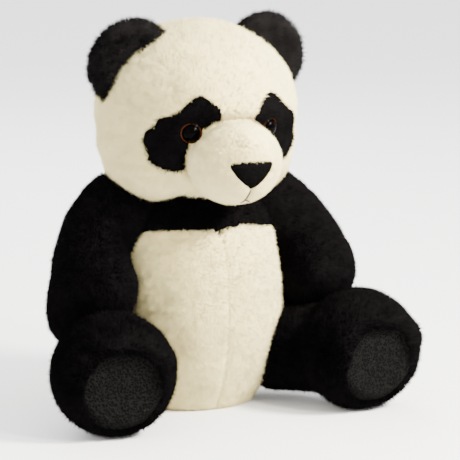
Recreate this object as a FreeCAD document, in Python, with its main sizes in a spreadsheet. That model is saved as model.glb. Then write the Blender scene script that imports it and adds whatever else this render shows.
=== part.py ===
"""Sitting plush panda, modelled as its sewn fabric panels, its stuffing and its plastic eyes.

Millimetres. +Z is up, the panda faces -Y, its own left side is +X. The origin is the middle of the
flat base that it sits on. Every size sits in the spreadsheet called dims.
"""

import FreeCAD, Part

import math
import os
import re

DIMENSIONS = {
    # fabric and clearances
    "skin": 2.0,
    "gap": 0.6,
    "thread": 1.0,
    # head, about its own middle
    "head_wide": 82,
    "head_deep": 76,
    "head_high": 72.5,
    "head_forward": -16.5,
    "head_up": 250.5,
    "crown_strip": 26,
    # muzzle
    "muzzle_wide": 35.5,
    "muzzle_deep": 34.5,
    "muzzle_high": 33,
    "muzzle_forward": -89,
    "muzzle_up": 216,
    "muzzle_seam_up": 212,
    # nose and mouth
    "nose_half": 18.5,
    "nose_top": 217.5,
    "nose_tip": 196.5,
    "nose_thick": 1.2,
    "mouth_end": 187.5,
    "mouth_wide": 1.8,
    # eyes
    "eye_out": 36,
    "eye_up": 238.5,
    "dome_radius": 7.8,
    "dome_rim": 1.6,
    "dome_height": 3.6,
    "ring_radius": 8.8,
    "shank_radius": 2.5,
    "shank_length": 14,
    "washer_radius": 8.5,
    "washer_thick": 1.5,
    # ears
    "ear_out": 63,
    "ear_forward": -19,
    "ear_up": 290,
    "ear_wide": 28,
    "ear_deep": 7.5,
    "ear_high": 32,
    "ear_lift": 42,
    "ear_turn": 14,
    "ear_gap": 2.4,
    # neck
    "neck_radius": 26,
    "neck_forward": -4,
    "neck_up": 182,
    "nod_room": 7,
    # arms: shoulder ball, two stations down the sleeve, and the paw
    "shoulder_radius": 31,
    "shoulder_out": 69,
    "shoulder_forward": -8,
    "shoulder_up": 159,
    "sleeve_radius": 28.5,
    "sleeve_out": 86,
    "sleeve_forward": -16,
    "sleeve_up": 150,
    "elbow_radius": 29,
    "elbow_out": 100,
    "elbow_forward": -25,
    "elbow_up": 129,
    "paw_radius": 34,
    "paw_length": 34,
    "paw_out": 105,
    "paw_forward": -33,
    "paw_up": 107,
    # legs: hip ball and foot
    "hip_radius": 32,
    "hip_out": 70,
    "hip_forward": -34,
    "hip_up": 42,
    "foot_radius": 35,
    "foot_out": 112,
    "foot_forward": -98,
    "foot_up": 49,
    "foot_wide": 45,
    "foot_deep": 43,
    "foot_high": 44,
    "foot_turn": 7,
    "sole_reach": 31,
    "pad_radius": 32,
    "pad_drop": 8,
    # torso: a pear of two rounds, belly and chest, standing on a flat seat
    "belly_wide": 73,
    "belly_deep": 69,
    "belly_high": 112,
    "belly_forward": -8,
    "belly_up": 88,
    "chest_wide": 70,
    "chest_deep": 60,
    "chest_high": 76,
    "chest_forward": -6,
    "chest_up": 128,
    # torso panels
    "yoke_up": 154,
    "side_seam": 8,
    # seat filling
    "bag_wide": 42,
    "bag_deep": 34,
    "bag_high": 19,
    "bag_up": 26,
    "bag_skin": 1.0,
    # tail
    "tail_wide": 20,
    "tail_deep": 15,
    "tail_high": 17,
    "tail_back": 63,
    "tail_up": 36,
    # closing seam and care label
    "stitch_first": 66,
    "stitch_pitch": 7,
    "stitch_wide": 8,
    "label_wide": 24,
    "label_long": 4,
    "label_thick": 0.8,
    "label_up": 18,
}

# Outline of the left eye patch, seen from the front: half width from the middle, then height.
EYE_PATCH = [
    (30, 269), (20, 261), (14, 250), (20, 241), (31, 233), (37, 221), (39, 206),
    (51, 207), (63, 213), (70, 228), (69, 243), (61, 251), (50, 254), (41, 262),
]

STITCHES = 8
REACH = 400  # longer than the whole toy, for the boxes that split it into panels
FORWARD = FreeCAD.Vector(0, -1, 0)
BACKWARD = FreeCAD.Vector(0, 1, 0)
UPWARD = FreeCAD.Vector(0, 0, 1)
SIDEWAYS = FreeCAD.Vector(1, 0, 0)

doc = FreeCAD.newDocument("plush_panda")
sheet = doc.addObject("Spreadsheet::Sheet", "dims")


# ---------------------------------------------------------------- spreadsheet and small helpers

def fill_sheet():
    """Writes every driving dimension into the sheet, one row each, under its alias."""
    for row, (alias, value) in enumerate(DIMENSIONS.items(), start=1):
        sheet.set(f"A{row}", alias)
        sheet.set(f"B{row}", str(value))
        sheet.setAlias(f"B{row}", alias)
    doc.recompute()


fill_sheet()


def size(alias):
    """A driving dimension, read back from the sheet."""
    return float(sheet.get(alias))


def spot(part):
    """The middle of a paired part on the left side, read from its three placing dimensions."""
    return FreeCAD.Vector(size(f"{part}_out"), size(f"{part}_forward"), size(f"{part}_up"))


def at(part, side=""):
    """The same place as three expressions, so that the object stays tied to the sheet."""
    return f"{side}{part}_out", f"{part}_forward", f"{part}_up"


def midline(part):
    return "0", f"{part}_forward", f"{part}_up"


def numbers(point):
    return [str(c) for c in point]


def in_sheet(text):
    """Turns 'head_wide - skin' into 'dims.head_wide - dims.skin'."""
    return re.sub(r"[a-z_]+[a-z]", lambda m: f"dims.{m.group()}" if m.group() in DIMENSIONS else m.group(), text)


def bind(obj, **expressions):
    """Ties an object's properties to the sheet."""
    for prop, text in expressions.items():
        obj.setExpression(prop, in_sheet(text))
    return obj


def place(obj, centre, rotation=None):
    """Puts an object at a place given as three expressions, turned by a rotation."""
    obj.Placement = FreeCAD.Placement(FreeCAD.Vector(), rotation or FreeCAD.Rotation())
    for axis, text in zip("xyz", centre):
        obj.setExpression(f"Placement.Base.{axis}", in_sheet(text))
    return obj


def facing(direction):
    """The rotation that turns +Z to a direction."""
    return FreeCAD.Rotation(UPWARD, direction)


def ellipsoid(name, wide, deep, high, centre, rotation=None):
    obj = bind(doc.addObject("Part::Ellipsoid", name), Radius1=high, Radius2=wide, Radius3=deep)
    obj.Angle1 = -90
    return place(obj, centre, rotation)


def grown_ellipsoid(name, part, offset, centre, rotation=None):
    """The ellipsoid part_wide, part_deep, part_high, grown by offset."""
    sizes = [f"{part}_{way} + {offset}" for way in ("wide", "deep", "high")]
    return ellipsoid(name, *sizes, centre, rotation)


def sphere(name, radius, centre, rotation=None):
    return place(bind(doc.addObject("Part::Sphere", name), Radius=radius), centre, rotation)


def cylinder(name, radius, height, centre, rotation=None):
    return place(bind(doc.addObject("Part::Cylinder", name), Radius=radius, Height=height), centre, rotation)


def box(name, length, width, height, corner):
    return place(bind(doc.addObject("Part::Box", name), Length=length, Width=width, Height=height), corner)


def half_space(name, face_point, outward):
    """A box with one face through a point, filling everything on that face's outward side."""
    obj = doc.addObject("Part::Box", name)
    obj.Length = obj.Width = obj.Height = 2 * REACH
    turn = facing(outward)
    corner = face_point + turn.multVec(FreeCAD.Vector(-REACH, -REACH, 0))
    obj.Placement = FreeCAD.Placement(corner, turn)
    return obj


def above(name, height):
    return half_space(name, FreeCAD.Vector(0, 0, size(height)), UPWARD)


def cut(name, base, *tools):
    """base with each tool taken away."""
    for number, tool in enumerate(tools, start=1):
        obj = doc.addObject("Part::Cut", name if number == len(tools) else f"{name}_cut_{number}")
        obj.Base, obj.Tool = base, tool
        base = obj
    return base


def common(name, *shapes):
    obj = doc.addObject("Part::MultiCommon", name)
    obj.Shapes = list(shapes)
    return obj


def fuse(name, *shapes):
    obj = doc.addObject("Part::MultiFuse", name)
    obj.Shapes = list(shapes)
    obj.Refine = False
    return obj


def chain(name, parts, inset):
    """A ball at each part but the last, each with a tapered tube to the next, all inset by the fabric."""
    balls, tubes = [], []
    for part, following in zip(parts, parts[1:]):
        turn = facing(spot(following) - spot(part))
        balls.append(sphere(f"{name}_{part}", f"{part}_radius - {inset}", at(part), turn))
        tube = doc.addObject("Part::Loft", f"{name}_{part}_tube")
        tube.Sections = [
            place(bind(doc.addObject("Part::Circle", f"{name}_{part}_to_{end}"),
                       Radius=f"{end}_radius - {inset} - gap / 2"), at(end), turn)
            for end in (part, following)
        ]
        tube.Solid = True
        tubes.append(tube)
    return balls + tubes


def split(shape, point, outward, outer_name, inner_name):
    """Parts a shape in two at a plane: the piece on the outward side, then the other one."""
    common(outer_name, shape, half_space(f"{outer_name}_half", point, outward))
    common(inner_name, shape, half_space(f"{inner_name}_half", point, -outward))


def mirror(source, name):
    """The right-hand twin of a left-hand object."""
    obj = doc.addObject("Part::Mirroring", name)
    obj.Source = source
    obj.Normal = SIDEWAYS
    obj.Base = FreeCAD.Vector()
    return obj


# ---------------------------------------------------------------- torso

def torso_form(name, offset, floor="0"):
    """The pear-shaped torso, grown by offset all round, with its flat seat at a height."""
    rounds = [grown_ellipsoid(f"{name}_{part}", part, offset, midline(part)) for part in ("belly", "chest")]
    slab = box(f"{name}_slab", str(REACH), str(REACH), str(REACH), (str(-REACH / 2), str(-REACH / 2), floor))
    return common(name, fuse(f"{name}_rounds", *rounds), slab)


def socket_balls():
    """The hollows that the neck, shoulder and hip fillings sit in."""
    balls = [sphere("neck_socket", "neck_radius + gap", midline("neck"))]
    for joint in ("shoulder", "hip"):
        for label, side in (("left", ""), ("right", "-")):
            balls.append(sphere(f"{joint}_socket_{label}", f"{joint}_radius + gap", at(joint, side)))
    return balls


def torso_region(name, low, high, *sides):
    """Everything between two heights that also lies on every given side of a plane."""
    slab = box(f"{name}_slab", str(REACH), str(REACH), f"{high} - {low}",
               (str(-REACH / 2), str(-REACH / 2), low))
    walls = [half_space(f"{name}_wall_{i}", point, outward) for i, (point, outward) in enumerate(sides)]
    return common(f"{name}_region", slab, *walls) if walls else slab


def build_torso(outer):
    """Panels round one filling, with a bag of pellets in the seat."""
    inner = torso_form("torso_inside", "-skin", floor="skin")
    rooms = socket_balls() + [grown_ellipsoid("head_room", "head", "nod_room", midline("head"))]
    seam = FreeCAD.Vector(0, size("side_seam"), 0)
    front, back, left = (seam, FORWARD), (seam, BACKWARD), (FreeCAD.Vector(), SIDEWAYS)
    regions = {
        "chest_yoke": torso_region("upper_front", "yoke_up", "head_up", front),
        "back_yoke": torso_region("upper_back", "yoke_up", "head_up", back),
        "base_panel": torso_region("base", "0", "skin"),
        "belly_panel_left": torso_region("lower_front", "skin", "yoke_up", front, left),
        "back_panel_left": torso_region("lower_back", "skin", "yoke_up", back, left),
    }
    for name, region in regions.items():
        cut(name, common(f"{name}_block", outer, region), inner, *rooms)

    bag_centre = ("0", "belly_forward", "bag_up")
    bag = ellipsoid("bag_outside", "bag_wide", "bag_deep", "bag_high", bag_centre)
    inset = [f"bag_{way} - bag_skin" for way in ("wide", "deep", "high")]
    pellets = ellipsoid("seat_pellets", *inset, bag_centre)
    cut("seat_pellet_bag", bag, pellets)
    cut("torso_stuffing", inner, bag, *rooms)


def build_closing_seam(outer):
    """The hand-sewn stitches that close the back, one short bar of thread per pitch."""
    thread = cut("thread_layer", torso_form("seam_height", "thread"), outer)
    bars = [
        box(f"stitch_bar_{number}", "stitch_wide", str(REACH), "thread",
            ("-stitch_wide / 2", "0", f"stitch_first + {number} * stitch_pitch"))
        for number in range(STITCHES)
    ]
    common("closing_stitches", thread, fuse("stitch_bars", *bars))


def build_care_label():
    """A blank tab sewn into the left side seam."""
    tab = box("label_tab", "belly_wide + label_long", "label_thick", "label_wide",
              ("0", "side_seam + 6 * gap", "label_up"))
    cut("care_label", tab, torso_form("label_room", "gap"))


def build_tail():
    """A stub of a tail: one folded panel round its filling, against the back."""
    filling = cut("tail_stuffing", grown_ellipsoid("tail_inside", "tail", "-skin", ("0", "tail_back", "tail_up")),
                  torso_form("tail_lining", "gap + skin"))
    outside = grown_ellipsoid("tail_outside", "tail", "0", ("0", "tail_back", "tail_up"))
    cut("tail_skin", outside, torso_form("tail_seat", "gap"), filling)


def build_neck():
    """The ball of filling between torso and head."""
    sphere("neck_stuffing", "neck_radius", midline("neck"))


# ---------------------------------------------------------------- head

def head_form(name, offset):
    """Skull, muzzle, and the two as one, all grown by offset."""
    skull = grown_ellipsoid(f"{name}_skull", "head", offset, midline("head"))
    muzzle = grown_ellipsoid(f"{name}_muzzle", "muzzle", offset, midline("muzzle"))
    return skull, muzzle, fuse(name, skull, muzzle)


def prism(name, outline):
    """A closed outline, seen from the front, carried forward through the face."""
    face = doc.addObject("Part::Feature", f"{name}_outline")
    face.Shape = Part.Face(outline)
    block = doc.addObject("Part::Extrusion", name)
    block.Base = face
    block.DirMode = "Custom"
    block.Dir = FORWARD
    block.LengthFwd = REACH
    block.Solid = True
    return block


def eye_patch_outline():
    curve = Part.BSplineCurve()
    curve.interpolate([FreeCAD.Vector(out, size("head_forward"), up) for out, up in EYE_PATCH], PeriodicFlag=True)
    return Part.Wire(curve.toShape())


def nose_outline():
    """A rounded triangle: a bowed top edge and two bowed sides that meet at the tip."""
    half, top, tip, y = (size(a) for a in ("nose_half", "nose_top", "nose_tip", "head_forward"))
    drop = top - tip
    left, right, low = FreeCAD.Vector(half, y, top), FreeCAD.Vector(-half, y, top), FreeCAD.Vector(0, y, tip)
    crown = FreeCAD.Vector(0, y, top + 0.05 * drop)
    left_side = FreeCAD.Vector(0.62 * half, y, top - 0.62 * drop)
    right_side = FreeCAD.Vector(-0.62 * half, y, top - 0.62 * drop)
    arcs = [Part.Arc(right, crown, left), Part.Arc(left, left_side, low), Part.Arc(low, right_side, right)]
    return Part.Wire([arc.toShape() for arc in arcs])


def eye_on_skull():
    """The left eye's place on the skull, and the direction that it looks in."""
    wide, deep, high = size("head_wide"), size("head_deep"), size("head_high")
    x, z = size("eye_out"), size("eye_up") - size("head_up")
    y = -deep * math.sqrt(1 - (x / wide) ** 2 - (z / high) ** 2)
    look = FreeCAD.Vector(x / wide**2, y / deep**2, z / high**2).normalize()
    return FreeCAD.Vector(x, y + size("head_forward"), z + size("head_up")), look


def build_eye():
    """The left eye: domed button on a shank, its amber ring, and the washer that locks it inside."""
    centre, look = eye_on_skull()
    turn, seat_at = facing(look), numbers(centre)
    deepest = numbers(centre - look * size("shank_length"))
    behind_skin = numbers(centre - look * (size("skin") + size("washer_thick") + 2 * size("gap")))

    cap_radius = "(dome_radius ^ 2 + dome_height ^ 2) / (2 * dome_height)"
    cap_drop = (size("dome_radius") ** 2 + size("dome_height") ** 2) / (2 * size("dome_height"))
    cap_centre = centre + look * (size("dome_rim") + size("dome_height") - cap_drop)
    cap = common(
        "eye_cap",
        sphere("cap_ball", cap_radius, numbers(cap_centre)),
        cylinder("cap_trim", "dome_radius", "dome_rim + dome_height", seat_at, turn),
    )
    shank = cylinder("eye_shank", "shank_radius", "shank_length + dome_rim", deepest, turn)
    fuse("eye_dome_left", cap, shank)
    cut("eye_ring_left", cylinder("ring_disc", "ring_radius", "dome_rim", seat_at, turn),
        cylinder("ring_bore", "dome_radius", "dome_rim", seat_at, turn))
    washer = cylinder("washer_disc", "washer_radius", "washer_thick", behind_skin, turn)
    cut("eye_washer_left", washer, shank)
    seat = cylinder("eye_seat", "ring_radius", "shank_length", seat_at, turn)
    return shank, washer, seat


def build_head():
    """Crown strip, sides, throat, muzzle panels and eye patches round one filling."""
    skull, muzzle, outer = head_form("head_outside", "0")
    inner = head_form("head_inside", "-skin")[2]
    neck_room = sphere("neck_room", "neck_radius + gap", midline("neck"))
    shank, washer, seat = build_eye()
    seats = [shank, seat, mirror(shank, "shank_right"), mirror(seat, "seat_right")]
    pockets = [shank, washer, mirror(shank, "shank_pocket_right"), mirror(washer, "washer_pocket_right")]

    snout = cut("muzzle_skin", muzzle, skull, inner, *seats[1::2])
    seam = above("above_muzzle_seam", "muzzle_seam_up")
    common("muzzle_top_panel", snout, seam)
    left_half = half_space("left_face", FreeCAD.Vector(), SIDEWAYS)
    common("muzzle_cheek_left", cut("muzzle_lower", snout, seam), left_half)

    patch = prism("patch_prism", eye_patch_outline())
    common("eye_patch_left", cut("skull_skin", skull, inner, seat, shank), patch)
    strip = box("crown_strip_box", "2 * crown_strip", str(2 * REACH), str(2 * REACH),
                ("-crown_strip", str(-REACH), str(-REACH)))
    under = common(
        "under_muzzle",
        half_space("front_of_neck", FreeCAD.Vector(0, size("neck_forward"), 0), FORWARD),
        half_space("below_muzzle", FreeCAD.Vector(0, 0, size("muzzle_up")), -UPWARD),
    )
    regions = {
        "head_side_left": (half_space("beside_strip", FreeCAD.Vector(size("crown_strip"), 0, 0), SIDEWAYS),
                           [patch, seat]),
        "throat_panel": (common("throat_region", strip, under), [neck_room]),
        "crown_gusset": (cut("crown_region", strip, under),
                         [neck_room, patch, mirror(patch, "patch_prism_right"), *seats[1::2]]),
    }
    for name, (region, tools) in regions.items():
        cut(name, common(f"{name}_block", skull, region), inner, *tools)
    cut("head_stuffing", inner, neck_room, *pockets)
    build_nose(outer)


def build_nose(outer):
    """The nose applique and the short line of thread under it."""
    layer = cut("nose_layer", head_form("nose_height", "nose_thick")[2], outer)
    common("nose_patch", layer, prism("nose_prism", nose_outline()))
    slot = box("mouth_slot", "mouth_wide", str(REACH), "nose_tip - mouth_end - gap",
               ("-mouth_wide / 2", str(-REACH), "mouth_end"))
    common("mouth_stitch", cut("thread_height", head_form("thread_form", "thread")[2], outer), slot)


def ear_axes():
    """The left ear's own directions: along its root, outward to its tip, and the way that it faces."""
    lift, yaw = math.radians(size("ear_lift")), math.radians(size("ear_turn"))
    outward = FreeCAD.Vector(math.cos(lift), 0, math.sin(lift))
    ahead = FreeCAD.Vector(math.sin(yaw), -math.cos(yaw), 0)
    ahead = (ahead - outward * ahead.dot(outward)).normalize()
    return outward.cross(ahead), outward, ahead


def ear_form(name, inset):
    wide, deep, high = (f"ear_{way} - {inset}" for way in ("wide", "deep", "high"))
    return ellipsoid(name, wide, high, deep, at("ear"), FreeCAD.Rotation(*ear_axes(), "ZXY"))


def build_ear():
    """Front and back panels of the left ear round a thin filling, standing on the crown."""
    filling = cut("ear_stuffing_left", ear_form("ear_core", "skin"), head_form("ear_lining", "ear_gap + skin")[2])
    skin = cut("ear_skin", ear_form("ear_shell", "0"), head_form("ear_clear", "ear_gap")[2], filling)
    split(skin, spot("ear"), ear_axes()[2], "ear_front_left", "ear_back_left")


# ---------------------------------------------------------------- arms and legs

def arm_form(name, inset, torso):
    """Shoulder ball, tapering sleeve and round paw, clear of the torso."""
    shoulder, *links = chain(name, ["shoulder", "sleeve", "elbow", "paw"], inset)
    radius, length = f"paw_radius - {inset}", f"paw_length - {inset}"
    end = ellipsoid(f"{name}_end", radius, radius, length, at("paw"), facing(spot("paw") - spot("elbow")))
    return fuse(name, shoulder, cut(f"{name}_clear", fuse(f"{name}_long", end, *links), torso))


def build_arm(clear, lined):
    """Outer and inner panels of the left arm round its filling."""
    filling = arm_form("arm_stuffing_left", "skin", lined)
    skin = cut("arm_skin", arm_form("arm_outside", "0", clear), filling)
    along = (spot("paw") - spot("shoulder")).normalize()
    outward = along.cross(BACKWARD).normalize()
    split(skin, (spot("shoulder") + spot("paw")) / 2, outward, "arm_outer_left", "arm_inner_left")


def foot_heading():
    turn = math.radians(size("foot_turn"))
    return FreeCAD.Vector(math.sin(turn), -math.cos(turn), 0)


def leg_form(name, inset, torso):
    """Hip ball, shin and a round foot with a flat sole."""
    heading = foot_heading()
    hip, shin = chain(name, ["hip", "foot"], inset)
    sideways = UPWARD.cross(heading)
    wide, deep, high = (f"foot_{way} - {inset}" for way in ("wide", "deep", "high"))
    foot = ellipsoid(f"{name}_end", wide, high, deep, at("foot"),
                     FreeCAD.Rotation(sideways, UPWARD, heading, "ZXY"))
    flat = spot("foot") + heading * (size("sole_reach") - (size(inset) if inset in DIMENSIONS else 0))
    beyond = half_space(f"{name}_sole", flat, heading)
    return fuse(name, hip, cut(f"{name}_clear", fuse(f"{name}_long", shin, foot), beyond, torso))


def build_leg(clear, lined):
    """Outer and inner panels of the left leg and its sole pad, round their filling."""
    filling = leg_form("leg_stuffing_left", "skin", lined)
    skin = cut("leg_skin", leg_form("leg_outside", "0", clear), filling)
    heading = foot_heading()
    pad_centre = spot("foot") + heading * (size("sole_reach") - 1.5 * size("skin")) - UPWARD * size("pad_drop")
    disc = cylinder("pad_disc", "pad_radius", "2 * skin", numbers(pad_centre), facing(heading))
    common("sole_pad_left", skin, disc)
    along = spot("foot") - spot("hip")
    outward = FreeCAD.Vector(-along.y, along.x, 0).normalize()
    split(cut("leg_fur", skin, disc), spot("hip"), outward, "leg_outer_left", "leg_inner_left")


# ---------------------------------------------------------------- the pieces, checked and written

PIECES = [
    "chest_yoke", "back_yoke", "base_panel", "torso_stuffing", "seat_pellet_bag", "seat_pellets",
    "closing_stitches", "care_label", "tail_skin", "tail_stuffing", "neck_stuffing",
    "crown_gusset", "throat_panel", "muzzle_top_panel", "nose_patch", "mouth_stitch", "head_stuffing",
]
PAIRED_PIECES = [
    "belly_panel", "back_panel", "head_side", "muzzle_cheek", "eye_patch", "eye_dome", "eye_ring",
    "eye_washer", "ear_front", "ear_back", "ear_stuffing", "arm_outer", "arm_inner", "arm_stuffing",
    "leg_outer", "leg_inner", "sole_pad", "leg_stuffing",
]


def check_document():
    for obj in doc.Objects:
        if "Invalid" in obj.State or "Error" in obj.State:
            raise RuntimeError(f"{obj.Name} failed: {obj.State}")


def write_pieces(names):
    os.makedirs("parts", exist_ok=True)
    for name in names:
        obj = doc.getObject(name)
        obj.Label = name
        shape = obj.Shape
        if shape.isNull() or not shape.isValid() or not shape.Solids:
            raise RuntimeError(f"{name} has no valid solid")
        shape.exportStep(f"parts/{name}.step")
        print(f"{name}: {len(shape.Solids)} solid, {shape.Volume / 1000:.1f} cm3")


def main():
    torso_outer = torso_form("torso_outside", "0")
    build_torso(torso_outer)
    build_closing_seam(torso_outer)
    build_care_label()
    build_tail()
    build_neck()
    build_head()
    build_ear()
    clear, lined = torso_form("limb_clear", "gap"), torso_form("limb_lining", "gap + skin")
    build_arm(clear, lined)
    build_leg(clear, lined)
    for piece in PAIRED_PIECES:
        mirror(doc.getObject(f"{piece}_left"), f"{piece}_right")
    doc.recompute()
    check_document()
    write_pieces(PIECES + [f"{piece}_{label}" for piece in PAIRED_PIECES for label in ("left", "right")])


main()
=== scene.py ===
"""The plush panda's looks: pile, eyes, nose, soles and seams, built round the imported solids.

Lengths are millimetres in the row frame (+Z up, the panda faces -Y, its left is +X) unless a comment says metres;
meshes are scaled to metres when they are made.
"""

import math

import bpy
import numpy as np
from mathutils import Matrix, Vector
from mathutils.bvhtree import BVHTree


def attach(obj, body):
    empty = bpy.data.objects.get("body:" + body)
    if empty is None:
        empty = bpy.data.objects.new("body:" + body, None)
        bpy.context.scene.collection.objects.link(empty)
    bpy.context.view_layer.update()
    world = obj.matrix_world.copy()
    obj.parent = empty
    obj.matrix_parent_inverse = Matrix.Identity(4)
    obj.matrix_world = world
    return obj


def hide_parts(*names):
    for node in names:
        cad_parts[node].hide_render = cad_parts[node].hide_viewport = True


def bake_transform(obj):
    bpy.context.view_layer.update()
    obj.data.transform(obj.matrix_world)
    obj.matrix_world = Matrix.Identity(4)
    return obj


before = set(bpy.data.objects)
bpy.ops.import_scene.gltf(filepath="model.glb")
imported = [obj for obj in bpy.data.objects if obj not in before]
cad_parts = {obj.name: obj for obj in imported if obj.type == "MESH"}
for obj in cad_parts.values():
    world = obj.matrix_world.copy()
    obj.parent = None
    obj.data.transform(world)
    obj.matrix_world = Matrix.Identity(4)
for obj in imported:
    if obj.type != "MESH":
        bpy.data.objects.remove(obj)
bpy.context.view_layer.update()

MM = 0.001
SIDES = (("left", 1), ("right", -1))

# ---------------------------------------------------------------- places and radii, shared with the solids

HEAD, HEAD_R = np.array([0, -16.5, 249.0]), np.array([81.5, 76, 70.5])
MUZZLE, MUZZLE_R = np.array([0, -89, 214.5]), np.array([37.5, 37, 33.5])
JOWL, JOWL_R = np.array([40, -20, 210.0]), np.array([38, 44, 32.5])
CHEEKS, CHEEKS_R = np.array([0, -18, 226.0]), np.array([82, 66, 46])
THROAT, THROAT_R = np.array([0, -36, 206.0]), np.array([46, 32, 28.0])
BROW, BROW_R = np.array([0, -82.5, 235]), np.array([27, 25, 15.5])
BELLY, BELLY_R = np.array([0, -8, 88]), np.array([73, 69, 112])
CHEST, CHEST_R = np.array([0, -6, 128]), np.array([70, 60, 76])
NECK, NECK_R = np.array([0, -4, 182]), np.array([26, 26, 26])
# the left arm's balls, shoulder to paw: centre and radius
ARM = [((64, -6, 166), 31), ((88, -13, 150), 27), ((99, -23, 129), 28), ((101, -34, 108), 33.5), ((109, -23, 86), 24)]
HIP, HIP_R = np.array([70, -34, 42.0]), 32
FOOT, FOOT_R = np.array([112, -98, 50.0]), np.array([47, 44, 46])
FOOT_TURN = math.radians(7)
SOLE_REACH = 31  # from the middle of the foot to the flat of the sole
PAD_R, PAD_DROP = 33.5, 9  # the sole pad's radius, and how far it sits below the middle of the foot
EYE = np.array([35, 0, 238.5])
EAR = np.array([61, -19, 291.0])
EAR_R = np.array([34, 9, 31])  # along the root, through the ear, out to the tip
TAIL, TAIL_R = np.array([0, 63, 36.0]), np.array([20, 15, 17])
HEAD_ROOM = 3.0  # left between the head and the skins under it, for the pile
BODY_ROOM = 0.8  # left between the torso and the limbs


def unit(v):
    """The same directions at length 1."""
    v = np.asarray(v, float)
    return v / np.maximum(np.linalg.norm(v, axis=-1, keepdims=True), 1e-9)


def smooth(t):
    """0 below 0, 1 above 1, and an even slope between."""
    t = np.clip(t, 0, 1)
    return t * t * (3 - 2 * t)


def bell(d, width):
    """1 at distance 0, falling smoothly to almost 0 two widths away."""
    return np.exp(-((d / width) ** 2))


# ---------------------------------------------------------------- noise

def lattice_noise(points, size, seed):
    """Smooth value noise from -1 to 1 at each point; features are about size mm across."""
    p = points / size
    cell = np.floor(p).astype(np.int64)
    f = smooth(p - cell)
    total = np.zeros(len(p))
    for corner in range(8):
        offset = np.array([corner & 1, corner >> 1 & 1, corner >> 2 & 1])
        c = cell + offset
        h = (c[:, 0] * 73856093) ^ (c[:, 1] * 19349663) ^ (c[:, 2] * 83492791) ^ (seed * 2654435761)
        h = (h ^ (h >> 13)) * 1274126177
        value = ((h ^ (h >> 16)) & 0xFFFF) / 32767.5 - 1
        total += value * np.prod(np.where(offset, f, 1 - f), axis=1)
    return total


def vector_noise(points, size, seed):
    """Three of those values at each point, as a vector."""
    return np.stack([lattice_noise(points, size, seed + i) for i in range(3)], axis=1)


# ---------------------------------------------------------------- materials

def principled(name, colour, roughness, **inputs):
    """A material whose values all sit on the shader's own sockets."""
    mat = bpy.data.materials.new(name)
    mat.use_nodes = True
    shader = mat.node_tree.nodes["Principled BSDF"]
    shader.inputs["Base Color"].default_value = (*colour, 1)
    shader.inputs["Roughness"].default_value = roughness
    for key, value in inputs.items():
        shader.inputs[key.replace("_", " ").title().replace("Ior", "IOR")].default_value = value
    return mat


def add_texture(mat, kind, scale, bump, distance, dark, light, **settings):
    """Gives a material procedural relief distance mm deep, and a colour that varies between dark and light."""
    nodes, links = mat.node_tree.nodes, mat.node_tree.links
    shader = nodes["Principled BSDF"]
    coords, texture = nodes.new("ShaderNodeTexCoord"), nodes.new(kind)
    texture.inputs["Scale"].default_value = scale
    for key, value in settings.items():
        texture.inputs[key.title()].default_value = value
    links.new(coords.outputs["Object"], texture.inputs["Vector"])
    value = texture.outputs.get("Fac") or texture.outputs["Distance"]
    relief = nodes.new("ShaderNodeBump")
    relief.inputs["Strength"].default_value = bump
    relief.inputs["Distance"].default_value = distance * MM
    links.new(value, relief.inputs["Height"])
    links.new(relief.outputs["Normal"], shader.inputs["Normal"])
    ramp = nodes.new("ShaderNodeValToRGB")
    for stop, position, colour in zip(ramp.color_ramp.elements, (0.3, 0.7), (dark, light)):
        stop.position, stop.color = position, (*colour, 1)
    links.new(value, ramp.inputs["Fac"])
    links.new(ramp.outputs["Color"], shader.inputs["Base Color"])
    return mat


def fur_tones(name, base, spread, roughness, **inputs):
    """Several near shades of one pile, so that neighbouring strands differ."""
    return [
        principled(f"{name}_{i}", tuple(min(1, c * s) for c in base), roughness, **inputs)
        for i, s in enumerate(spread)
    ]


CREAM, BLACK = (0.98, 0.85, 0.435), (0.0038, 0.0034, 0.0036)
MATERIALS = {
    "cream": fur_tones("cream_pile", CREAM, (0.94, 0.98, 1.0, 1.03), 0.9, specular_ior_level=0.0),
    "ear": fur_tones("ear_pile", (0.0088, 0.0081, 0.0082), (0.75, 1.0, 1.25, 1.6), 0.9, specular_ior_level=0.0),
    "black": fur_tones("black_pile", BLACK, (0.75, 1.0, 1.25, 1.6), 0.9, specular_ior_level=0.0),
}
SKIN_CREAM = add_texture(principled("cream_cloth", CREAM, 0.9, specular_ior_level=0.0),
                         "ShaderNodeTexNoise", 420, 0.5, 1.2, (0.88, 0.74, 0.40), (0.95, 0.82, 0.48), detail=4)
SKIN_BLACK = add_texture(principled("black_cloth", BLACK, 0.9, specular_ior_level=0.0),
                         "ShaderNodeTexNoise", 420, 0.5, 1.2, (0.001, 0.001, 0.001), (0.004, 0.0036, 0.0036), detail=4)
SOLE = add_texture(principled("sole_cloth", (0.003, 0.0028, 0.0027), 0.75, specular_ior_level=0.03),
                   "ShaderNodeTexVoronoi", 480, 0.9, 1.6, (0.0006, 0.0006, 0.0006), (0.0032, 0.003, 0.0028))
NOSE = add_texture(principled("nose_cloth", (0.002, 0.0018, 0.0017), 0.85, specular_ior_level=0.03),
                   "ShaderNodeTexNoise", 1600, 0.5, 0.4, (0.0012, 0.0011, 0.001), (0.003, 0.0028, 0.0026), detail=3)
EYE_BLACK = principled("eye_black", (0.0004, 0.0003, 0.0003), 0.02, specular_ior_level=0.014)
EYE_AMBER = principled("eye_amber", (0.03, 0.0075, 0.0018), 0.2, specular_ior_level=0.05)
THREAD = add_texture(principled("thread", (0.10, 0.06, 0.04), 0.8), "ShaderNodeTexWave", 900, 0.6, 0.3,
                     (0.06, 0.035, 0.022), (0.13, 0.08, 0.05))
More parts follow.
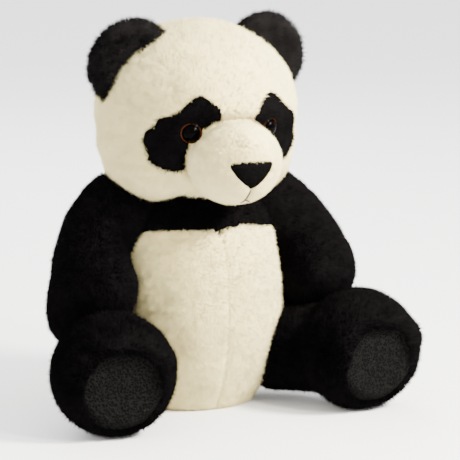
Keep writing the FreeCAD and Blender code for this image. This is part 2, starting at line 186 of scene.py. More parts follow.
THREAD_CREAM = add_texture(principled("thread_cream", (0.80, 0.68, 0.42), 0.85), "ShaderNodeTexWave", 900, 0.6, 0.3,
                           (0.70, 0.58, 0.34), (0.86, 0.74, 0.48))
SATIN = add_texture(principled("label_satin", (0.8, 0.8, 0.78), 0.45, sheen_weight=0.2), "ShaderNodeTexWave", 1400,
                    0.2, 0.1, (0.72, 0.72, 0.70), (0.84, 0.84, 0.82))


# ---------------------------------------------------------------- meshes

def mesh_object(name, verts, faces, body=None, materials=(), face_material=None, smooth_shade=True, normals=None):
    """A mesh from millimetre points and faces of 3 or 4 corners (faces is a list of index arrays)."""
    mesh = bpy.data.meshes.new(name)
    verts = np.asarray(verts, float)
    mesh.vertices.add(len(verts))
    mesh.vertices.foreach_set("co", (verts * MM).astype(np.float32).ravel())
    groups = [np.asarray(f, np.int32) for f in faces if len(f)]
    sizes = np.concatenate([np.full(len(g), g.shape[1], np.int32) for g in groups])
    mesh.loops.add(int(sizes.sum()))
    mesh.loops.foreach_set("vertex_index", np.concatenate([g.ravel() for g in groups]))
    mesh.polygons.add(len(sizes))
    mesh.polygons.foreach_set("loop_start", np.concatenate([[0], np.cumsum(sizes)[:-1]]).astype(np.int32))
    for material in materials:
        mesh.materials.append(material)
    if face_material is not None:
        mesh.polygons.foreach_set("material_index", np.asarray(face_material, np.int32))
    mesh.polygons.foreach_set("use_smooth", np.full(len(sizes), smooth_shade))
    mesh.update(calc_edges=True)
    if normals is not None:
        mesh.normals_split_custom_set_from_vertices(normals.astype(np.float32))
    obj = bpy.data.objects.new(name, mesh)
    bpy.context.scene.collection.objects.link(obj)
    if body:
        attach(obj, body)
    return obj


def arrays(obj):
    """(points in mm, unit vertex normals, triangles) of a mesh object."""
    mesh = obj.data
    co, no = np.zeros(len(mesh.vertices) * 3), np.zeros(len(mesh.vertices) * 3, np.float32)
    mesh.vertices.foreach_get("co", co)
    mesh.vertex_normals.foreach_get("vector", no)
    mesh.calc_loop_triangles()
    tri = np.zeros(len(mesh.loop_triangles) * 3, np.int32)
    mesh.loop_triangles.foreach_get("vertices", tri)
    return co.reshape(-1, 3) / MM, no.reshape(-1, 3).astype(float), tri.reshape(-1, 3)


def ball(centre, radii, axes=np.eye(3), rings=40):
    """(points, faces) of an ellipsoid whose own axes are the rows of axes."""
    u = np.linspace(0, 2 * math.pi, 2 * rings, endpoint=False)
    v = np.linspace(0, math.pi, rings + 1)[1:-1]
    uu, vv = np.meshgrid(u, v)
    local = np.stack([np.cos(uu) * np.sin(vv), np.sin(uu) * np.sin(vv), np.cos(vv)], axis=-1).reshape(-1, 3)
    local = np.vstack([local, [[0, 0, 1], [0, 0, -1]]]) * np.asarray(radii, float)
    n, rows = 2 * rings, rings - 1
    i, j = np.meshgrid(np.arange(n), np.arange(rows - 1))
    a, b = (j * n + i).ravel(), (j * n + (i + 1) % n).ravel()
    quads = np.stack([a, a + n, b + n, b], axis=1)
    k = np.arange(n)
    top, low = rows * n, rows * n + 1
    caps = [np.stack([np.full(n, top), k, (k + 1) % n], axis=1),
            np.stack([np.full(n, low), (rows - 1) * n + (k + 1) % n, (rows - 1) * n + k], axis=1)]
    return local @ axes + centre, [quads, np.vstack(caps)]


def tube_balls(a, ra, b, rb, step=4):
    """Balls in a row from a to b whose radii run from ra to rb."""
    a, b = np.asarray(a, float), np.asarray(b, float)
    count = max(2, int(np.linalg.norm(b - a) / step))
    return [(a + (b - a) * t, [ra + (rb - ra) * t] * 3, np.eye(3)) for t in np.linspace(0, 1, count)]


def soft_skin(name, balls, voxel=2.2, rounds=8):
    """One closed, smoothed surface round all the balls."""
    verts, quads, tris, base = [], [], [], 0
    for centre, radii, axes in balls:
        points, (q, t) = ball(np.asarray(centre, float), radii, axes, 24)
        verts.append(points)
        quads.append(q + base)
        tris.append(t + base)
        base += len(points)
    rough = mesh_object(name + "_rough", np.vstack(verts), [np.vstack(quads), np.vstack(tris)])
    remesh = rough.modifiers.new("one_skin", "REMESH")
    remesh.mode, remesh.voxel_size = "VOXEL", voxel * MM
    even = rough.modifiers.new("even", "SMOOTH")
    even.factor, even.iterations = 0.5, rounds
    graph = bpy.context.evaluated_depsgraph_get()
    mesh = bpy.data.meshes.new_from_object(rough.evaluated_get(graph))
    bpy.data.objects.remove(rough)
    obj = bpy.data.objects.new(name, mesh)
    bpy.context.scene.collection.objects.link(obj)
    mesh.polygons.foreach_set("use_smooth", np.ones(len(mesh.polygons), bool))
    return obj


def reshape(obj, shift):
    """Moves each point by shift(points, normals) mm."""
    points, normals, _ = arrays(obj)
    moved = points + shift(points, normals)
    obj.data.vertices.foreach_set("co", (moved * MM).astype(np.float32).ravel())
    obj.data.update()


def keep_out(points, centre, radii, room):
    """The shift that brings points inside an ellipsoid, grown by room, back out to its surface."""
    r = np.asarray(radii, float) + room
    q = (points - centre) / r
    d = np.linalg.norm(q, axis=1, keepdims=True)
    return np.where(d < 1, (q / np.maximum(d, 1e-6) - q) * r, 0)


def clear_of_head(points, room):
    """The shift that brings points out of the skull, the cheeks and both jowls."""
    shift = keep_out(points, HEAD, HEAD_R, room)
    shift = shift + keep_out(points + shift, CHEEKS, CHEEKS_R, room)
    for sign in (1, -1):
        shift = shift + keep_out(points + shift, JOWL * [sign, 1, 1], JOWL_R, room)
    return shift


def everywhere(points):
    return np.ones(len(points), bool)


def paint(obj, is_black, cream=SKIN_CREAM, black=SKIN_BLACK):
    """Gives the skin's faces the cream or the black cloth."""
    obj.data.materials.clear()
    obj.data.materials.append(cream)
    obj.data.materials.append(black)
    centres = np.zeros(len(obj.data.polygons) * 3)
    obj.data.polygons.foreach_get("center", centres)
    dark = is_black(centres.reshape(-1, 3) / MM)
    obj.data.polygons.foreach_set("material_index", dark.astype(np.int32))


def stands_for(obj, body, *nodes, fill=None):
    """The piece rides on body unless body is None and replaces those nodes; fill is not used."""
    if body:
        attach(obj, body)
    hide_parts(*nodes)


def bend(pieces):
    """Bakes each piece's placement into its points."""
    for piece in pieces:
        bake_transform(piece)


# ---------------------------------------------------------------- pile

DENSITY = {"cream": 2.9, "black": 1.9, "ear": 2.2}  # strands per square mm
WIDTH = {"cream": 0.85, "black": 0.9, "ear": 0.7}  # across a strand's root
MOST = 60000  # strands in one piece
SUNK = 0.8  # how deep a strand's root sits in the skin
FLOOR_GAP = 0.35  # the lowest that a strand may reach
RELIEF = 0.55  # how much the shading varies from tuft to tuft


def scatter(points, normals, tris, density, rng, keep):
    """Random roots on the surface: positions and normals of those that keep(positions) accepts."""
    a, b, c = (points[tris[:, i]] for i in range(3))
    area = np.linalg.norm(np.cross(b - a, c - a), axis=1) / 2
    count = rng.poisson(area * density)
    which = np.repeat(np.arange(len(tris)), count)
    s, t = rng.random(len(which)), rng.random(len(which))
    flip = s + t > 1
    s[flip], t[flip] = 1 - s[flip], 1 - t[flip]
    w = np.stack([1 - s - t, s, t], axis=1)
    corner = tris[which]
    roots = np.einsum("ij,ijk->ik", w, points[corner])
    out = unit(np.einsum("ij,ijk->ik", w, normals[corner]))
    ok = keep(roots)
    return roots[ok], out[ok]


def grow(name, skin, body, kind, keep, comb, length=6.0, lean=0.75, seed=1, clump=4.0, density=1.0,
         trim=None, messy=1.0):
    """Covers part of a skin with short pile, in pieces of a bounded size. Each strand is a closed three-sided spike.

    comb(roots) is the way that the pile is brushed, and lean how strongly; trim(roots) is how much of the
    length stays, and messy how far tufts stray from the comb.
    """
    rng = np.random.default_rng(seed)
    share = 1.0
    points, normals, tris = arrays(skin)
    roots, out = scatter(points, normals, tris, DENSITY[kind] * share * density, rng, keep)
    if not len(roots):
        return []
    n = len(roots)
    tuft = vector_noise(roots, clump, seed * 7 + 11)
    swirl = vector_noise(roots, clump * 5, seed * 7 + 31)
    brushed = comb(roots)
    brushed = brushed - out * np.sum(brushed * out, axis=1, keepdims=True)
    side = brushed * lean + (swirl * 0.25 + tuft * 0.35) * messy + rng.normal(0, 0.24, (n, 3))
    side -= out * np.sum(side * out, axis=1, keepdims=True)
    long = length * (1 + 0.10 * lattice_noise(roots, clump * 1.3, seed * 7 + 51) + rng.normal(0, 0.08, n))
    long = np.clip(long, 0.6 * length, 1.3 * length)
    long = np.where(rng.random(n) < 0.1, long * 1.35, long)
    long = (long * trim(roots) if trim else long)[:, None]
    way = unit(out + side * 1.0)
    across = unit(np.cross(way, rng.normal(0, 1, (n, 3))))
    wide = WIDTH[kind] * 1.0 * (0.8 + 0.4 * rng.random(n))[:, None]
    base = roots - out * SUNK
    corners = [base + (across * math.cos(t) + np.cross(way, across) * math.sin(t)) * wide * 0.58
               for t in (0, 2 * math.pi / 3, 4 * math.pi / 3)]
    verts = np.stack([*corners, base + way * (long + SUNK)], axis=1)
    verts[:, :, 2] = np.maximum(verts[:, :, 2], FLOOR_GAP)
    mottle = 0.5 * tuft + 0.3 * swirl + 0.25 * vector_noise(roots, clump * 0.45, seed * 7 + 91)
    shade = unit(out + mottle * RELIEF + 0.15 * way)[:, None, :].repeat(4, axis=1)
    tone = np.clip(1.5 + 1.1 * lattice_noise(roots, clump * 1.6, seed * 7 + 71) + rng.normal(0, 0.6, n), 0, 3.49)
    tone = tone.astype(int)
    made = []
    order = np.argsort(np.arctan2(roots[:, 1] - roots[:, 1].mean(), roots[:, 0] - roots[:, 0].mean()))
    chunks = np.array_split(order, max(1, math.ceil(n / MOST)))
    for i, chunk in enumerate(chunks):
        index = 4 * np.arange(len(chunk))[:, None]
        faces = [index + np.array([[k, (k + 1) % 3, 3]]) for k in range(3)]
        label = name if len(chunks) == 1 else f"{name}_{i + 1}"
        made.append(mesh_object(label, verts[chunk].reshape(-1, 3), faces, body, MATERIALS[kind],
                                np.tile(tone[chunk], 3), normals=shade[chunk].reshape(-1, 3)))
    return made


def downward(points):
    """Brushed straight down."""
    return np.tile([0.0, 0.0, -1.0], (len(points), 1))


def away_from(point, sink=0.4):
    """Brushed away from a point and a little downward."""
    def comb(points):
        return unit(unit(points - point) + np.array([0, 0, -sink]))
    return comb


# ---------------------------------------------------------------- colour boundaries

PATCH = np.array([(30, 269), (20, 261), (13, 250), (20, 241), (31, 233), (36, 221), (37, 206),
                  (51, 207), (63, 213), (69, 228), (67, 242), (60, 250), (50, 254), (41, 262)], float)


def rounded(outline, times=3):
    """A closed outline with its corners cut, again and again."""
    for _ in range(times):
        after = np.roll(outline, -1, axis=0)
        outline = np.stack([outline * 0.75 + after * 0.25, outline * 0.25 + after * 0.75], axis=1).reshape(-1, 2)
    return outline


def inside(outline, points):
    """Which 2-D points lie inside a closed outline."""
    x, y = points[:, 0], points[:, 1]
    hit = np.zeros(len(points), bool)
    for (ax, ay), (bx, by) in zip(outline, np.roll(outline, -1, axis=0)):
        crosses = (ay > y) != (by > y)
        hit ^= crosses & (x < (bx - ax) * (y - ay) / (by - ay + 1e-12) + ax)
    return hit


PATCH_SHAPE = rounded(PATCH)


def on_muzzle(points, grow_by=0.0):
    q = (points - MUZZLE) / (MUZZLE_R + 2.0 + grow_by)
    return np.sum(q * q, axis=1) < 1


def head_is_black(points):
    flat = np.stack([np.abs(points[:, 0] - 3.0), points[:, 2]], axis=1)
    wobble = 1.5 * np.stack([lattice_noise(points, 7, 5), lattice_noise(points, 7, 6)], axis=1)
    ahead = points[:, 1] < HEAD[1] - 8
    near_muzzle = on_muzzle(points, 1.0) & (points[:, 1] < -60)
    return inside(PATCH_SHAPE, flat + wobble) & ahead & ~near_muzzle


def belly_edge(x):
    """Height of the seam between belly and chest at each x, in front."""
    rise = 1.6 * bell(x - 22, 16) + 1.0 * bell(x + 34, 18)
    fall = 2.5 * smooth((np.abs(x) - 44) / 18) + 2.5 * smooth((x - 24) / 22)
    notch = 4.5 * bell(x + 3, 2.0)
    return 153.0 + rise - fall - notch


def torso_is_black(points):
    front = points[:, 1] < 8
    edge = np.where(front, belly_edge(points[:, 0]), 152.0)
    return points[:, 2] + 0.8 * lattice_noise(points, 6, 9) > edge


# ---------------------------------------------------------------- torso

def torso_shift(points, normals):
    """Seams, the belly's two halves, a flat seat, and room for the head."""
    x, y, z = points.T
    front = smooth((-y - 10) / 20)
    back = smooth((y - 10) / 20)
    shift = -normals * (0.9 * bell(x, 2.0) * (front + back) * smooth((158 - z) / 6))[:, None]
    shift -= normals * (1.3 * bell(np.abs(z - belly_edge(x)), 2.5) * front)[:, None]
    # the two belly halves puff out a little beside the middle seam
    halfway_up = smooth((z - 15) / 30) * smooth((150 - z) / 30)
    shift += normals * (1.8 * bell(np.abs(x) - 24, 20) * front * halfway_up)[:, None]
    shift += normals * (0.9 * lattice_noise(points, 26, 3))[:, None]
    shift[:, 2] += np.maximum(0, 1.5 - (z + shift[:, 2]))
    return shift + clear_of_head(points + shift, HEAD_ROOM)


def make_torso():
    skin = soft_skin("torso_skin", [(BELLY, BELLY_R, np.eye(3)), (CHEST, CHEST_R, np.eye(3))], 2.4, 6)
    reshape(skin, torso_shift)
    paint(skin, torso_is_black)
    stands_for(skin, "torso", "chest_yoke", "back_yoke", "belly_panel_left", "belly_panel_right", "back_panel_left",
               "back_panel_right", "base_panel", "torso_stuffing", "seat_pellet_bag", "seat_pellets", fill=0.85)
    above_floor = lambda p: p[:, 2] > 2.5
    grow("torso_pile_cream", skin, "torso", "cream", lambda p: ~torso_is_black(p) & above_floor(p), downward, 4.4,
         0.28, seed=11, trim=lambda p: 1 - 0.4 * bell(p[:, 0], 1.4), messy=0.35)
    grow("torso_pile_black", skin, "torso", "black", torso_is_black, downward, 4.8, 0.4, seed=12, messy=0.6)

    tail = soft_skin("tail_pad", [(TAIL, TAIL_R, np.eye(3))], 2.0, 4)
    paint(tail, lambda p: ~everywhere(p))
    stands_for(tail, "torso", "tail_skin", "tail_stuffing", fill=0.7)
    grow("tail_pile", tail, "torso", "cream", lambda p: p[:, 1] > 52, away_from(TAIL - [0, 30, 0]), 5.5, 0.5, seed=13,
         messy=0.6)


# ---------------------------------------------------------------- head

def head_shift(points, normals):
    """Sewn creases, the lips, and a hollow round each eye."""
    x, y, z = points.T
    face = smooth((-y - 60) / 12)
    shift = np.zeros_like(points)
    # crease where the muzzle is sewn to the face
    d = np.linalg.norm((points - MUZZLE) / (MUZZLE_R + 1.5), axis=1) - 1
    skull = np.linalg.norm((points - HEAD) / HEAD_R, axis=1) - 1
    crease = bell(d * 35, 3.2) * bell(skull * 75, 8.0)
    shift -= normals * (5.0 * crease * face)[:, None]
    # short line of the mouth, with its pinch at the lower end
    mouth = bell(x, 1.5) * smooth((199 - z) / 3) * smooth((z - 183) / 4) * smooth((-y - 95) / 8)
    shift -= normals * (3.0 * mouth)[:, None]
    lips = bell(np.abs(x) - 9, 7) * bell(z - 192, 8) * smooth((-y - 95) / 8)
    shift += normals * (1.6 * lips)[:, None]
    # hollow round each eye, and the seam across the bridge
    eye = np.hypot(np.abs(x) - EYE[0], z - EYE[2])
    shift -= normals * (2.2 * bell(eye, 10) * face)[:, None]
    bridge = bell(z - 249.5, 2.0) * smooth((20 - np.abs(x)) / 6) * smooth((-y - 80) / 6)
    shift -= normals * (1.8 * bridge)[:, None]
    shift += normals * (1.1 * lattice_noise(points, 30, 4))[:, None]
    return shift


def make_head():
    skin = soft_skin("head_skin", [(centre, radii, np.eye(3)) for centre, radii in (
        (HEAD, HEAD_R), (MUZZLE, MUZZLE_R), (JOWL, JOWL_R), (JOWL * [-1, 1, 1], JOWL_R), (CHEEKS, CHEEKS_R),
        (THROAT, THROAT_R), (BROW, BROW_R))], 1.9, 9)
    reshape(skin, head_shift)
    paint(skin, head_is_black)
    nodes = ["crown_gusset", "throat_panel", "muzzle_top_panel", "head_stuffing"]
    nodes += [f"{n}_{side}" for n in ("head_side", "muzzle_cheek", "eye_patch") for side, _ in SIDES]
    stands_for(skin, "head", *nodes, fill=0.9)
    tree = surface(skin)

    nose_shape = nose_outline()

    def bare(p):
        """Where the nose and the eyes sit, which has no pile."""
        flat = np.stack([p[:, 0], p[:, 2]], axis=1)
        eye = np.hypot(np.abs(p[:, 0]) - EYE[0], p[:, 2] - EYE[2]) < 8.6
        return (inside(nose_shape, flat) & (p[:, 1] < -95)) | (eye & (p[:, 1] < -60))

    def face_comb(points):
        """Outward from the bridge over the skull, and back from the nose over the muzzle."""
        over = unit(points - np.array([0, -120, 236]))
        over[:, 2] -= 0.25
        return unit(over)

    def seams(points):
        """Short pile along the muzzle's sewn edge, over the bridge and beside the mouth."""
        x, y, z = points.T
        ring = np.linalg.norm((points - MUZZLE) / (MUZZLE_R + 1.5), axis=1) - 1
        bridge = bell(z - 249.5, 1.6) * smooth((22 - np.abs(x - 2)) / 6) * (y < -80)
        mouth = bell(x, 1.6) * smooth((198 - z) / 2) * smooth((z - 184) / 3) * (y < -95)
        return 1 - 0.5 * bell(ring * 35, 2.0) * (y < -60) - 0.45 * bridge - 0.6 * mouth

    cream = lambda p: ~head_is_black(p) & ~bare(p)
    grow("head_pile_cream", skin, "head", "cream", lambda p: cream(p) & ~on_muzzle(p), face_comb, 4.2, 0.25, seed=21,
         trim=seams, messy=0.35)
    grow("muzzle_pile", skin, "head", "cream", lambda p: cream(p) & on_muzzle(p), face_comb, 3.4, 0.35, seed=22,
         clump=3.0, density=1.2, trim=seams, messy=0.35)
    grow("eye_patch_pile", skin, "head", "black", lambda p: head_is_black(p) & ~bare(p), face_comb, 4.0, 0.7,
         seed=23, density=1.5, messy=0.5)
    make_nose(tree)
    make_mouth(tree)
    make_eyes(tree)


def surface(obj):
    """A search tree over a skin, in millimetres."""
    points, _, tris = arrays(obj)
    return BVHTree.FromPolygons([Vector(p) for p in points], [tuple(t) for t in tris])


def on_front(tree, x, z):
    """The point and normal of a skin straight behind (x, z), seen from the front."""
    hit, normal, _, _ = tree.ray_cast(Vector((x, -400, z)), Vector((0, 1, 0)))
    return np.array(hit), np.array(normal)


def nose_outline():
    """The nose's outline as seen from the front: a wide triangle with bowed sides, point down."""
    half, top, tip = 19.6, 217.4, 195.6
    corner = [(-half, top), (-half * 0.5, top + 1.3), (0, top + 1.6), (half * 0.5, top + 1.3), (half, top),
              (half * 0.86, top - 6.5), (half * 0.5, top - 14.5), (half * 0.16, tip + 2.2), (0, tip),
              (-half * 0.16, tip + 2.2), (-half * 0.5, top - 14.5), (-half * 0.86, top - 6.5)]
    return rounded(np.array(corner, float), 2)


def make_nose(tree):
    """The nose: short brushed cloth, slightly padded, lying on the muzzle."""
    rim = nose_outline()
    middle = np.array([0, 209.5])
    rings = np.linspace(0, 1, 9)[1:]
    verts, normals = [], []
    for share in [0, *rings]:
        loop = [middle] if share == 0 else middle + (rim - middle) * share
        for x, z in loop:
            point, normal = on_front(tree, x, z)
            verts.append(point + normal * (2.9 - 2.3 * share**4))
            normals.append(normal)
    n = len(rim)
    k = np.arange(n)
    tris = np.stack([np.zeros(n, int), 1 + (k + 1) % n, 1 + k], axis=1)
    quads = np.vstack([np.stack([1 + r * n + k, 1 + r * n + (k + 1) % n, 1 + (r + 1) * n + (k + 1) % n,
                                 1 + (r + 1) * n + k], axis=1) for r in range(len(rings) - 1)])
    verts, normals = np.array(verts), np.array(normals)
    outer = verts[-n:] - normals[-n:] * 3.0
    verts = np.vstack([verts, outer])
    last = 1 + (len(rings) - 1) * n
    skirt = np.stack([last + k, last + (k + 1) % n, last + n + (k + 1) % n, last + n + k], axis=1)
    nose = mesh_object("nose", verts, [tris, np.vstack([quads, skirt])], None, [NOSE])
    stands_for(nose, "head", "nose_patch")
    nap("nose_nap", nose, "head", 0.9)


def cord(name, path, radius, material, body, sides=10):
    """A round thread along a path of points, with closed ends."""
    path = np.asarray(path, float)
    ahead = unit(np.gradient(path, axis=0))
    across = unit(np.cross(ahead, [0.31, 0.2, 0.93]))
    lift = np.cross(ahead, across)
    angle = np.linspace(0, 2 * math.pi, sides, endpoint=False)
    taper = np.minimum(1, 0.45 + np.minimum(np.arange(len(path)), np.arange(len(path))[::-1]) * 0.3) * radius
    rings = path[:, None] + taper[:, None, None] * (np.cos(angle)[None, :, None] * across[:, None]
                                                    + np.sin(angle)[None, :, None] * lift[:, None])
    k, rows = np.arange(sides), len(path)
    nxt = (k + 1) % sides
    quads = np.vstack([np.stack([r * sides + k, r * sides + nxt, (r + 1) * sides + nxt, (r + 1) * sides + k], axis=1)
                       for r in range(rows - 1)])
    verts = np.vstack([rings.reshape(-1, 3), path[:1], path[-1:]])
    start, end, last = rows * sides, rows * sides + 1, (rows - 1) * sides
    caps = np.vstack([np.stack([np.full(sides, start), nxt, k], axis=1),
                      np.stack([np.full(sides, end), last + k, last + nxt], axis=1)])
    return mesh_object(name, verts, [quads, caps], body, [material])


def make_mouth(tree):
    """The sewn line under the nose, and the two short lips at its end."""
    def on_skin(points):
        found = [on_front(tree, x, z) for x, z in points]
        return [p + n * 2.6 for p, n in found]
    line = cord("mouth_line", on_skin([(-0.2, z) for z in np.linspace(196.5, 187.5, 12)]), 0.75, THREAD, None)
    stands_for(line, "head", "mouth_stitch")
    for side, sign in SIDES:
        steps = np.linspace(0, 1, 7)
        lip = on_skin([(sign * 4.5 * t - 0.2, 187.5 - 2.2 * t**1.5) for t in steps])
        cord(f"mouth_lip_{side}", lip, 0.55, THREAD, "head")


def nap(name, obj, body, length, colour=(0.0016, 0.0014, 0.0013)):
    """A very short standing nap on a small cloth piece."""
    tones = fur_tones(name, colour, (0.6, 1.0, 1.4, 1.8), 0.8, specular_ior_level=0.02)
    MATERIALS[name], DENSITY[name], WIDTH[name] = tones, 5.0, 0.42
    return grow(name, obj, body, name, everywhere, downward, length, 0.3, seed=77, clump=1.5)


def make_eyes(tree):
    """Glossy domed buttons with an amber rim, sunk into the pile."""
    profile = [(0, 5.6), (2.2, 5.35), (4.2, 4.55), (5.8, 3.35), (6.9, 2.1), (7.6, 1.1), (8.5, 0.9), (8.9, 0.4),
               (8.9, -1.2), (0, -1.2)]
    turns = 56
    for side, sign in SIDES:
        point, _ = on_front(tree, sign * EYE[0], EYE[2])
        radial = (point - HEAD) / HEAD_R**2
        look = unit(radial * [0.92, 1, 1])
        right = unit(np.cross(look, [0, 0, 1.0]))
        up = np.cross(right, look)
        seat = point + look * 0.9
        angle = np.linspace(0, 2 * math.pi, turns, endpoint=False)
        loops = [seat + look * h + r * (np.outer(np.cos(angle), right) + np.outer(np.sin(angle), up))
                 for r, h in profile[1:-1]]
        verts = np.vstack([seat + look * profile[0][1], *loops, seat + look * profile[-1][1]])
        k = np.arange(turns)
        nxt = (k + 1) % turns
        rows = len(loops)
        quads = np.vstack([np.stack([1 + r * turns + k, 1 + (r + 1) * turns + k, 1 + (r + 1) * turns + nxt,
                                     1 + r * turns + nxt], axis=1) for r in range(rows - 1)])
        low = 1 + (rows - 1) * turns
        tris = np.vstack([np.stack([np.zeros(turns, int), 1 + k, 1 + nxt], axis=1),
                          np.stack([np.full(turns, len(verts) - 1), low + nxt, low + k], axis=1)])
        amber = np.zeros(len(quads) + len(tris), int)
        amber[4 * turns:7 * turns] = 1
        eye = mesh_object(f"eye_{side}", verts, [quads, tris], None, [EYE_BLACK, EYE_AMBER], amber)
        stands_for(eye, "head", f"eye_dome_{side}", f"eye_ring_{side}")


# ---------------------------------------------------------------- ears

def ear_axes(sign):
    """Along the root, the way it faces, and out to the tip."""
    lift, yaw = math.radians(42), math.radians(14)
    out = np.array([math.cos(lift), 0, math.sin(lift)])
    ahead = np.array([math.sin(yaw), -math.cos(yaw), 0])
    ahead = unit(ahead - out * (ahead @ out))
    root = np.cross(out, ahead)
    return np.array([root, ahead, out]) * np.array([sign, 1, 1])


def make_ears():
    for side, sign in SIDES:
        axes = ear_axes(sign)
        centre = EAR * [sign, 1, 1]
        skin = soft_skin(f"ear_skin_{side}", [(centre, EAR_R, axes)], 1.8, 4)

        def cup(points, normals):
            local = (points - centre) @ axes.T / EAR_R
            hollow = smooth(1 - (local[:, 0] ** 2 + (local[:, 2] - 0.15) ** 2) / 0.62) * smooth(local[:, 1] * 3)
            bow = 5.0 * (local[:, 2] ** 2 * 0.6 + local[:, 0] ** 2 * 0.7)
            return axes[1] * (bow - 3.5 * hollow)[:, None] + keep_out(points, HEAD, HEAD_R, 0.6) * 0.98

        reshape(skin, cup)
        paint(skin, everywhere)
        stands_for(skin, None, f"ear_front_{side}", f"ear_back_{side}", f"ear_stuffing_{side}", fill=0.5)
        outward = axes[2]
        comb = lambda p: unit(np.tile(outward, (len(p), 1)) + 0.6 * unit(p - centre))
        clear = lambda p: np.linalg.norm((p - HEAD) / HEAD_R, axis=1) > 1.005
        pile = grow(f"ear_pile_{side}", skin, None, "ear", clear, comb, 7.0, 0.25, seed=31 + sign, density=1.6,
                    messy=0.9)
        bend([skin, *pile])


# ---------------------------------------------------------------- arms and legs

def keep_off_torso(points, room):
    """The shift that brings points out of the belly and the chest."""
    shift = keep_out(points, BELLY, BELLY_R, room)
    return shift + keep_out(points + shift, CHEST, CHEST_R, room)


def make_arms():
    for side, sign in SIDES:
        flip = np.array([sign, 1, 1])
        balls = []
        for (a, ra), (b, rb) in zip(ARM, ARM[1:]):
            balls += tube_balls(np.array(a) * flip, ra, np.array(b) * flip, rb)
        skin = soft_skin(f"arm_skin_{side}", balls, 2.3, 8)
        shoulder = np.array(ARM[0][0]) * flip
        paw = np.array(ARM[4][0]) * flip

        def shift(points, normals):
            bumps = normals * (1.3 * lattice_noise(points, 24, 40 + sign))[:, None]
            far = smooth((np.linalg.norm(points - shoulder, axis=1) - 26) / 14)[:, None]
            bumps = bumps + keep_off_torso(points + bumps, BODY_ROOM) * far
            return bumps + clear_of_head(points + bumps, HEAD_ROOM)

        reshape(skin, shift)
        paint(skin, everywhere)
        stands_for(skin, None, f"arm_outer_{side}", f"arm_inner_{side}", f"arm_stuffing_{side}", fill=0.75)
        along = unit(paw - shoulder)
        comb = lambda p: np.tile(along, (len(p), 1))
        outside = lambda p: (np.linalg.norm((p - CHEST) / CHEST_R, axis=1) > 0.97) | (p[:, 2] < 120)
        pile = grow(f"arm_pile_{side}", skin, None, "black", outside, comb, 4.8, 0.4, seed=41 + sign, messy=0.6)
        bend([skin, *pile])


def foot_axes(sign):
    """Across the foot, the way its sole faces, and up."""
    heading = np.array([sign * math.sin(FOOT_TURN), -math.cos(FOOT_TURN), 0])
    return np.array([np.cross([0, 0, 1.0], heading), heading, [0, 0, 1.0]])


def make_legs():
    for side, sign in SIDES:
        flip = np.array([sign, 1, 1])
        hip, foot = HIP * flip, FOOT * flip
        axes = foot_axes(sign)
        across, heading, up = axes
        balls = tube_balls(hip, HIP_R, foot, 35) + [(foot, FOOT_R, axes)]
        for turn in np.radians([-62, -31, 0, 31, 62]):  # the toe roll over the top of the sole
            place = foot + heading * 19 + up * (27 * math.cos(turn) - 2) + across * (31 * math.sin(turn))
            balls.append((place, (15, 15, 15), np.eye(3)))
        skin = soft_skin(f"leg_skin_{side}", balls, 2.3, 7)
        pad_middle = foot + heading * SOLE_REACH - up * PAD_DROP

        def shift(points, normals):
            bumps = normals * (1.2 * lattice_noise(points, 24, 50 + sign))[:, None]
            local = (points - foot) @ axes.T
            past = np.maximum(0, local[:, 1] - (SOLE_REACH - 1.0))
            flat = -past * smooth((30 - local[:, 2]) / 8)
            pad = np.hypot(local[:, 0], local[:, 2] + PAD_DROP)
            sunk = -2.6 * smooth((PAD_R + 1.0 - pad) / 4) * smooth((local[:, 1] - 20) / 6)
            low = np.maximum(0, 4.5 - points[:, 2])
            moved = bumps + heading * (flat + sunk)[:, None] + np.array([0, 0, 1]) * low[:, None]
            far = smooth((np.linalg.norm(points - hip, axis=1) - 26) / 14)[:, None]
            return moved + keep_off_torso(points + moved, BODY_ROOM) * far

        reshape(skin, shift)

        def is_pad(points):
            local = (points - foot) @ axes.T
            edge = PAD_R - 1.2 + 0.8 * lattice_noise(points, 9, 60)
            return (np.hypot(local[:, 0], local[:, 2] + PAD_DROP) < edge) & (local[:, 1] > 20)

        paint(skin, is_pad, cream=SKIN_BLACK, black=SOLE)
        stands_for(skin, f"leg_{side}", f"leg_outer_{side}", f"leg_inner_{side}", f"sole_pad_{side}",
                   f"leg_stuffing_{side}", fill=0.8)
        along = unit(foot - hip)

        def comb(points):
            local = (points - pad_middle) @ axes.T
            round_pad = smooth((local[:, 1] + 18) / 14)[:, None]
            outward = unit(points - pad_middle)
            return unit(along * (1 - round_pad) + (outward * 0.4 + heading * 0.5) * round_pad)

        clear = lambda p: ~is_pad(p) & (np.linalg.norm((p - BELLY) / BELLY_R, axis=1) > 0.98)
        grow(f"leg_pile_{side}", skin, f"leg_{side}", "black", clear, comb, 5.6, 0.4, seed=51 + sign, messy=0.6)


# ---------------------------------------------------------------- the remaining solids

def finish_solids():
    """Finishes for the solids that stay, and a cloth skin for the neck's filling."""
    for name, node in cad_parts.items():
        mat = {"care_label": SATIN, "closing_stitches": THREAD_CREAM}.get(name)
        if name.startswith("eye_washer"):
            mat = principled("washer_plastic", (0.75, 0.75, 0.72), 0.5)
        if mat:
            node.data.materials.clear()
            node.data.materials.append(mat)
    neck = soft_skin("neck_skin", [(NECK, NECK_R, np.eye(3))], 2.4, 3)
    paint(neck, everywhere)
    stands_for(neck, "neck", "neck_stuffing", fill=0.6)


# ---------------------------------------------------------------- studio

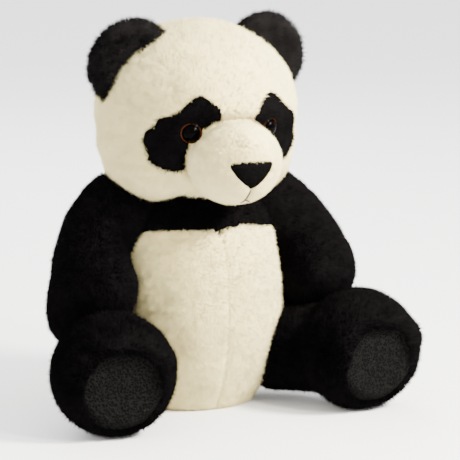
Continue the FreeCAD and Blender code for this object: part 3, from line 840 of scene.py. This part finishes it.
def area_light(name, place, aim, size, power, colour=(1, 1, 1)):
    """A square lamp at place, turned to aim, both in metres."""
    light = bpy.data.lights.new(name, "AREA")
    light.shape, light.size, light.energy, light.color = "SQUARE", size, power, colour
    obj = bpy.data.objects.new(name, light)
    bpy.context.scene.collection.objects.link(obj)
    obj.location = place
    obj.rotation_euler = (Vector(aim) - Vector(place)).to_track_quat("-Z", "Y").to_euler()
    return obj


def make_studio():
    """A pale floor, an even white surround and four soft lamps."""
    floor_mat = principled("floor", (0.93, 0.93, 0.93), 0.9)
    size = 6000
    floor = mesh_object("floor", [(-size, -size, 0), (size, -size, 0), (size, size, 0), (-size, size, 0)],
                        [[(0, 1, 2, 3)]], None, [floor_mat])
    world = bpy.data.worlds.new("studio")
    bpy.context.scene.world = world
    world.use_nodes = True
    surround = world.node_tree.nodes["Background"]
    surround.inputs["Color"].default_value = (1, 1, 1, 1)
    surround.inputs["Strength"].default_value = 2.5
    area_light("key", (0.9, -1.2, 1.3), (0, 0, 0.17), 0.4, 150, (1.0, 0.95, 0.86))
    area_light("glint", (0.5, -1.6, 1.1), (0, 0, 0.2), 0.2, 38, (1.0, 0.96, 0.9))
    area_light("fill", (-1.5, -1.0, 0.7), (0, 0, 0.17), 1.2, 6, (1.0, 0.97, 0.92))
    area_light("back", (0.3, 1.3, 1.3), (0, 0, 0.2), 1.0, 26)


def make_camera():
    """From the panda's right, a little above, with a long lens."""
    azimuth, elevation, distance = math.radians(26), math.radians(10), 2500
    toward = np.array([-math.sin(azimuth) * math.cos(elevation), -math.cos(azimuth) * math.cos(elevation),
                       math.sin(elevation)])
    right = np.array([math.cos(azimuth), -math.sin(azimuth), 0])
    up = np.cross(toward, right)
    middle = right * 35.7 + up * 141.1
    camera = bpy.data.cameras.new("camera")
    camera.sensor_width, camera.lens = 36, 36 * distance / 391  # 391 mm across at the panda
    camera.clip_end = 100
    camera.dof.use_dof = False
    obj = bpy.data.objects.new("camera", camera)
    bpy.context.scene.collection.objects.link(obj)
    obj.location = Vector((middle + toward * distance) * MM)
    obj.rotation_euler = Vector(-toward).to_track_quat("-Z", "Y").to_euler()
    bpy.context.scene.camera = obj


make_torso()
make_head()
make_ears()
make_arms()
make_legs()
finish_solids()
make_studio()
make_camera()
